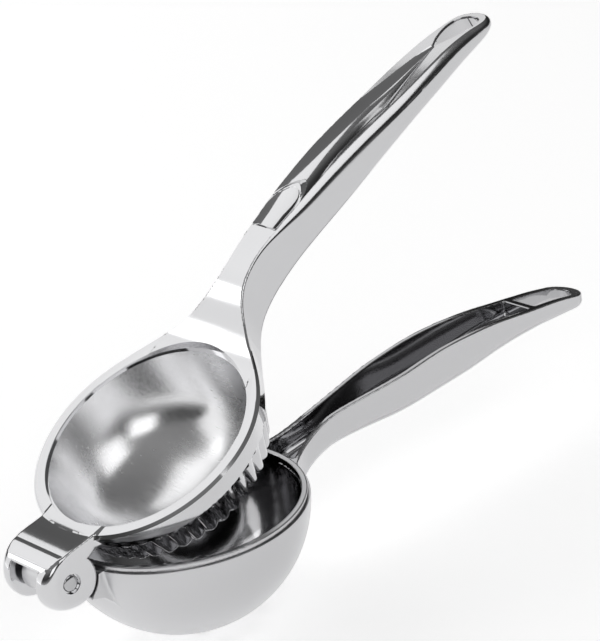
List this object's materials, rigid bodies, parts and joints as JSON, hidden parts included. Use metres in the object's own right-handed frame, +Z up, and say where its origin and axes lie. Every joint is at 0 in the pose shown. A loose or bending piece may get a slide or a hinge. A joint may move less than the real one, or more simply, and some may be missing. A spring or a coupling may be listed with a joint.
{
  "type": "citrus press",
  "caption": "Hand-held two-lever citrus press: a drained bowl lever and a fluted press lever on one hinge pin, with hollow handles and hanging holes.",
  "frame": {"origin": "centre of the hanging hole in the tip of the bowl lever's handle", "axes": "+Z up along the bowl's axis, +X from the hinge pin towards the handle tips, Y along the hinge pin; the press lever is stored 26 degrees open, as in the picture"},
  "size_m": [0.2197, 0.0754, 0.1376],
  "materials": {
    "polished_steel": "mirror-polished stainless steel casting",
    "satin_steel": "stainless steel casting, satin outside and polished inside",
    "pin_steel": "polished steel pin with domed ends"
  },
  "bodies": {
    "bowl": {"bowl_lever": "satin_steel"},
    "press": {"press_lever": "polished_steel", "hinge_pin": "pin_steel"}
  },
  "joints": [
    {"name": "hinge", "type": "hinge", "parent": "bowl", "child": "press", "pos_m": [-0.1965, 0, -0.0016], "axis": [0, -1, 0], "range_deg": [-24.5, 94]}
  ]
}
